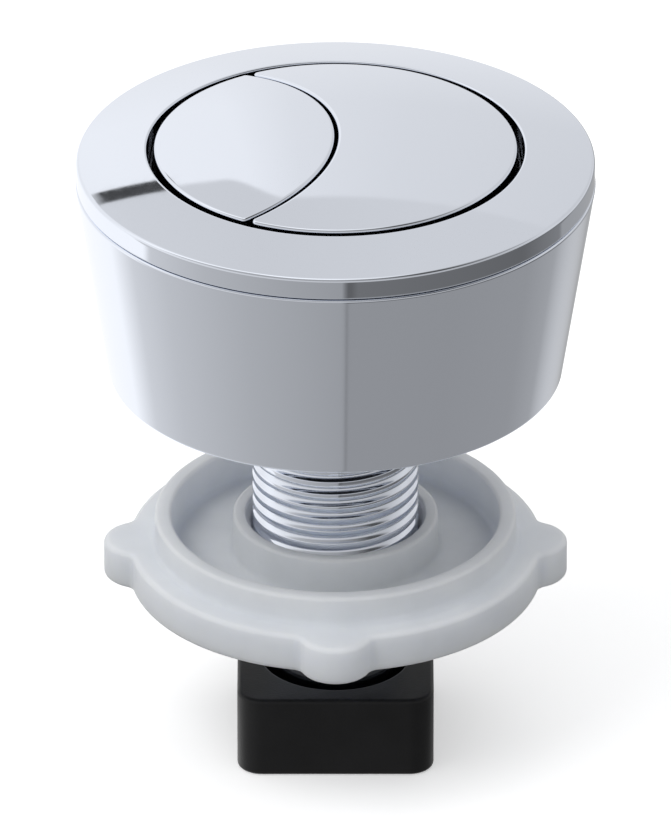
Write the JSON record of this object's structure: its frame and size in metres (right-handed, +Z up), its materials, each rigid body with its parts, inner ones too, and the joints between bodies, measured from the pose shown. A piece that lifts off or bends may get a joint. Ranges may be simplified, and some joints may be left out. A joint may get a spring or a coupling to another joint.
{
  "type": "push button cistern actuator",
  "caption": "Round chrome dual flush push button with a threaded stem, tapered collar, flanged plastic back nut and square rubber foot.",
  "frame": {"origin": "middle of the underside of the square foot block, which the stem stands in", "axes": "+Z up along the stem to the buttons; -X towards the half flush button; windows of the barrel face -Y and +Y"},
  "size_m": [0.0736, 0.0736, 0.0964],
  "materials": {
    "chrome_bezel": "bright chrome plate on moulded ABS",
    "chrome_buttons": "bright chrome plate on moulded ABS",
    "chrome_stem": "chrome plate, slightly softer on the thread",
    "chrome_collar": "bright chrome plate on moulded ABS",
    "natural_nylon": "natural moulded plastic, slightly milky",
    "grey_plastic": "dark moulded plastic",
    "white_plastic": "white moulded plastic",
    "spring_steel": "drawn wire",
    "zinc_steel": "zinc plate",
    "black_rubber": "matt black rubber"
  },
  "bodies": {
    "housing": {"bezel": "chrome_bezel", "guide_cup": "grey_plastic", "threaded_stem": "chrome_stem", "stem_screws": "zinc_steel", "foot_block": "black_rubber", "half_spring": "spring_steel", "full_spring": "spring_steel"},
    "half_flush": {"half_button": "chrome_buttons", "half_carrier": "white_plastic", "half_plunger": "white_plastic", "half_push_rod": "white_plastic", "half_lock_nut": "white_plastic", "half_stop_clip": "spring_steel"},
    "full_flush": {"full_button": "chrome_buttons", "full_carrier": "white_plastic", "full_plunger": "white_plastic", "full_push_rod": "white_plastic", "full_lock_nut": "white_plastic", "full_stop_clip": "spring_steel"},
    "collar": {"collar": "chrome_collar"},
    "back_nut": {"back_nut": "natural_nylon"}
  },
  "joints": [
    {"name": "half_press", "type": "slide", "parent": "housing", "child": "half_flush", "axis": [0, 0, -1], "range_m": [0, 0.006], "stiffness_N_per_m": 300, "springref_m": -0.005, "deforming": ["half_spring"]},
    {"name": "full_press", "type": "slide", "parent": "housing", "child": "full_flush", "axis": [0, 0, -1], "range_m": [0, 0.006], "stiffness_N_per_m": 300, "springref_m": -0.005, "deforming": ["full_spring"]},
    {"name": "collar_drop", "type": "slide", "parent": "housing", "child": "collar", "axis": [0, 0, -1], "range_m": [0, 0.018]},
    {"name": "nut_travel", "type": "slide", "parent": "housing", "child": "back_nut", "axis": [0, 0, 1], "range_m": [-0.0125, 0.0092]}
  ]
}
